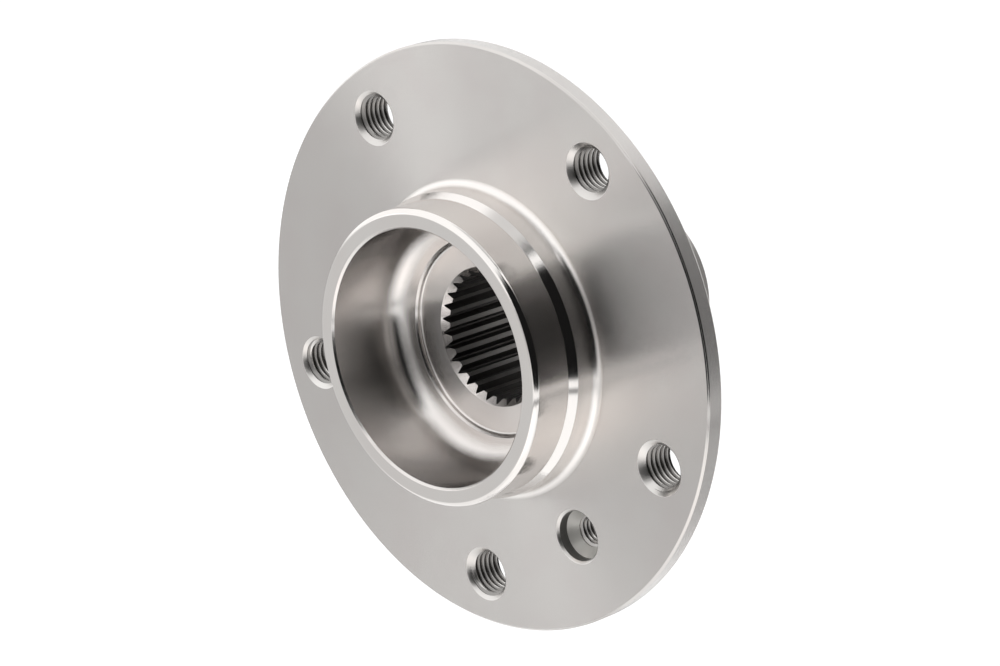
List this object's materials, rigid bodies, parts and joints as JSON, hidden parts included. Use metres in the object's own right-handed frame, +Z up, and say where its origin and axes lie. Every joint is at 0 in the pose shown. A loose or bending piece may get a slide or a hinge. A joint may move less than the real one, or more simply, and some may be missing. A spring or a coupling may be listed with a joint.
{
  "type": "wheel hub",
  "caption": "Bare driven wheel hub: a round drilled flange with a stepped pilot cup in front, a splined through bore and a bearing journal behind.",
  "frame": {"origin": "centre of the bolt circle, on the flange face that the brake disc and the wheel seat on", "axes": "-Y out of the car towards the wheel, +Y inboard along the bearing journal, +Z up; the hub turns about Y"},
  "size_m": [0.1446, 0.0765, 0.1446],
  "materials": {
    "turned_steel": "fine turned bare steel",
    "ground_steel": "ground bare steel"
  },
  "bodies": {
    "root": {"pilot_spigot": "turned_steel", "wheel_flange": "turned_steel", "bearing_shoulder": "turned_steel", "splined_journal": "ground_steel"}
  },
  "joints": []
}
